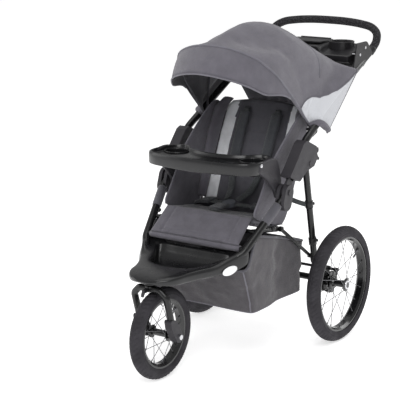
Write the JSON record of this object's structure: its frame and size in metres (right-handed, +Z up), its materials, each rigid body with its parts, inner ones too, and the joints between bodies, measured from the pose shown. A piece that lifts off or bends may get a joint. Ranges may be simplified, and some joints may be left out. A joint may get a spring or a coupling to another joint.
{
  "type": "jogging stroller",
  "caption": "Three-wheeled jogging stroller with spoked wheels, a folding tubular frame, canopy, padded seat, child tray, basket and foam-covered handle.",
  "frame": {"origin": "on the ground, in the middle of the length and width", "axes": "+Z up, +Y towards the handle and the rear, -Y towards the front wheel, +X to the child's left"},
  "size_m": [0.624, 1.2019, 1.0875],
  "materials": {
    "black_tube": "satin black powder coat",
    "black_plastic": "fine-grained moulded plastic",
    "gloss_black": "smooth, semi-gloss moulded plastic",
    "grey_plastic": "dark grey moulded plastic",
    "tyre": "rubber with a chevron tread",
    "rim_black": "black anodised rim",
    "steel": "bright steel",
    "spoke_black": "black spokes",
    "fabric_grey": "mid grey woven polyester",
    "fabric_dark": "dark grey woven polyester",
    "webbing": "woven webbing",
    "foam": "textured foam sleeve",
    "reflector": "white reflector",
    "buckle_grey": "grey moulded buckle"
  },
  "bodies": {
    "front_frame": {"front_tube_left": "black_tube", "front_tube_right": "black_tube", "footrest_shell": "gloss_black", "shell_reflectors": "reflector", "steering_head": "steel", "fold_housings_lower": "grey_plastic", "fold_bolts": "steel", "seat_frame": "black_tube", "seat_pad": "fabric_dark", "calf_pad": "fabric_grey", "seat_side_panels": "fabric_grey", "basket": "fabric_dark", "buckle": "buckle_grey", "lap_straps": "webbing", "tray_arms": "grey_plastic"},
    "swivel_lock": {"swivel_lock": "grey_plastic"},
    "fork": {"fork": "black_tube", "fork_boots": "black_plastic", "front_axle": "steel"},
    "wheel_release": {"wheel_release_tab": "grey_plastic"},
    "front_wheel": {"front_tyre": "tyre", "front_rim": "rim_black", "front_hub": "rim_black", "front_spokes": "spoke_black"},
    "handle_frame": {"handle_tube_left": "black_tube", "handle_tube_right": "black_tube", "handle_loop": "black_tube", "handle_grip": "foam", "parent_tray": "black_plastic", "handle_plates": "black_plastic", "plate_rivets": "steel", "fold_housings_upper": "grey_plastic", "canopy_mounts": "black_plastic", "canopy_middle_bow": "black_plastic", "canopy_rear_fabric": "fabric_grey"},
    "tray_lid": {"parent_tray_lid": "black_plastic"},
    "fold_lever_left": {"fold_lever_left": "black_plastic"},
    "fold_lever_right": {"fold_lever_right": "black_plastic"},
    "canopy_front": {"canopy_front_fabric": "fabric_grey", "canopy_front_bow": "black_plastic"},
    "rear_legs": {"rear_leg_left": "black_tube", "rear_leg_right": "black_tube", "rear_crossbar": "black_tube", "rear_axles": "steel", "axle_housings": "black_plastic"},
    "brake": {"brake_bar": "black_plastic"},
    "rear_wheel_left": {"rear_tyre_left": "tyre", "rear_rim_left": "rim_black", "rear_hub_left": "rim_black", "rear_spokes_left": "spoke_black"},
    "rear_wheel_right": {"rear_tyre_right": "tyre", "rear_rim_right": "rim_black", "rear_hub_right": "rim_black", "rear_spokes_right": "spoke_black"},
    "fold_links": {"fold_links": "black_tube"},
    "child_tray": {"child_tray": "gloss_black"},
    "seat_back": {"backrest_pad": "fabric_dark", "backrest_board": "black_plastic", "shoulder_straps": "webbing"},
    "buckle_button": {"buckle_button": "buckle_grey"}
  },
  "joints": [
    {"name": "handle_fold", "type": "hinge", "parent": "front_frame", "child": "handle_frame", "pos_m": [0, -0.09, 0.566], "axis": [1, 0, 0], "range_deg": [0, 80]},
    {"name": "rear_leg_fold", "type": "hinge", "parent": "handle_frame", "child": "rear_legs", "pos_m": [0, 0.036, 0.64], "axis": [1, 0, 0], "range_deg": [-39.12, 0]},
    {"name": "link_fold", "type": "hinge", "parent": "front_frame", "child": "fold_links", "pos_m": [0, -0.052, 0.431], "axis": [1, 0, 0], "range_deg": [0, 57.6]},
    {"name": "fork_swivel", "type": "hinge", "parent": "front_frame", "child": "fork", "pos_m": [0, -0.501, 0.3], "axis": [0, 0, 1], "continuous": true},
    {"name": "swivel_lock_slide", "type": "slide", "parent": "front_frame", "child": "swivel_lock", "axis": [0, -1, 0], "range_m": [0, 0.004]},
    {"name": "wheel_release_press", "type": "hinge", "parent": "fork", "child": "wheel_release", "pos_m": [0, -0.534, 0.306], "axis": [1, 0, 0], "range_deg": [0, 10], "stiffness_Nm_per_rad": 0.5, "springref_deg": -5.73},
    {"name": "front_wheel_spin", "type": "hinge", "parent": "fork", "child": "front_wheel", "pos_m": [0, -0.452, 0.149], "axis": [1, 0, 0], "continuous": true},
    {"name": "rear_wheel_left_spin", "type": "hinge", "parent": "rear_legs", "child": "rear_wheel_left", "pos_m": [0.28, 0.199, 0.199], "axis": [1, 0, 0], "continuous": true},
    {"name": "rear_wheel_right_spin", "type": "hinge", "parent": "rear_legs", "child": "rear_wheel_right", "pos_m": [-0.28, 0.199, 0.199], "axis": [1, 0, 0], "continuous": true},
    {"name": "brake_press", "type": "hinge", "parent": "rear_legs", "child": "brake", "pos_m": [0, 0.241, 0.232], "axis": [1, 0, 0], "range_deg": [-25, 0]},
    {"name": "canopy_fold", "type": "hinge", "parent": "handle_frame", "child": "canopy_front", "pos_m": [0, 0.112, 0.737], "axis": [1, 0, 0], "range_deg": [-50, 0]},
    {"name": "tray_swing", "type": "hinge", "parent": "front_frame", "child": "child_tray", "pos_m": [0, -0.201, 0.668], "axis": [1, 0, 0], "range_deg": [0, 75]},
    {"name": "seat_recline", "type": "hinge", "parent": "front_frame", "child": "seat_back", "pos_m": [0, 0.003, 0.44], "axis": [1, 0, 0], "range_deg": [-40, 0]},
    {"name": "buckle_press", "type": "slide", "parent": "front_frame", "child": "buckle_button", "axis": [0, 0.225, -0.9744], "range_m": [0, 0.0025], "stiffness_N_per_m": 400, "springref_m": -0.001},
    {"name": "tray_lid_open", "type": "hinge", "parent": "handle_frame", "child": "tray_lid", "pos_m": [0, 0.497, 0.99], "axis": [1, 0, 0], "range_deg": [-100, 0]},
    {"name": "fold_lever_left_squeeze", "type": "hinge", "parent": "handle_frame", "child": "fold_lever_left", "pos_m": [0.232, 0.087, 0.677], "axis": [1, 0, 0], "range_deg": [-12, 0], "stiffness_Nm_per_rad": 1, "springref_deg": 5.73},
    {"name": "fold_lever_right_squeeze", "type": "hinge", "parent": "handle_frame", "child": "fold_lever_right", "pos_m": [-0.232, 0.087, 0.677], "axis": [1, 0, 0], "range_deg": [-12, 0], "stiffness_Nm_per_rad": 1, "springref_deg": 5.73}
  ],
  "couplings": [
    {"joint": "rear_leg_fold", "follows": "handle_fold", "ratio": -0.4765},
    {"joint": "link_fold", "follows": "handle_fold", "ratio": 0.70755}
  ]
}
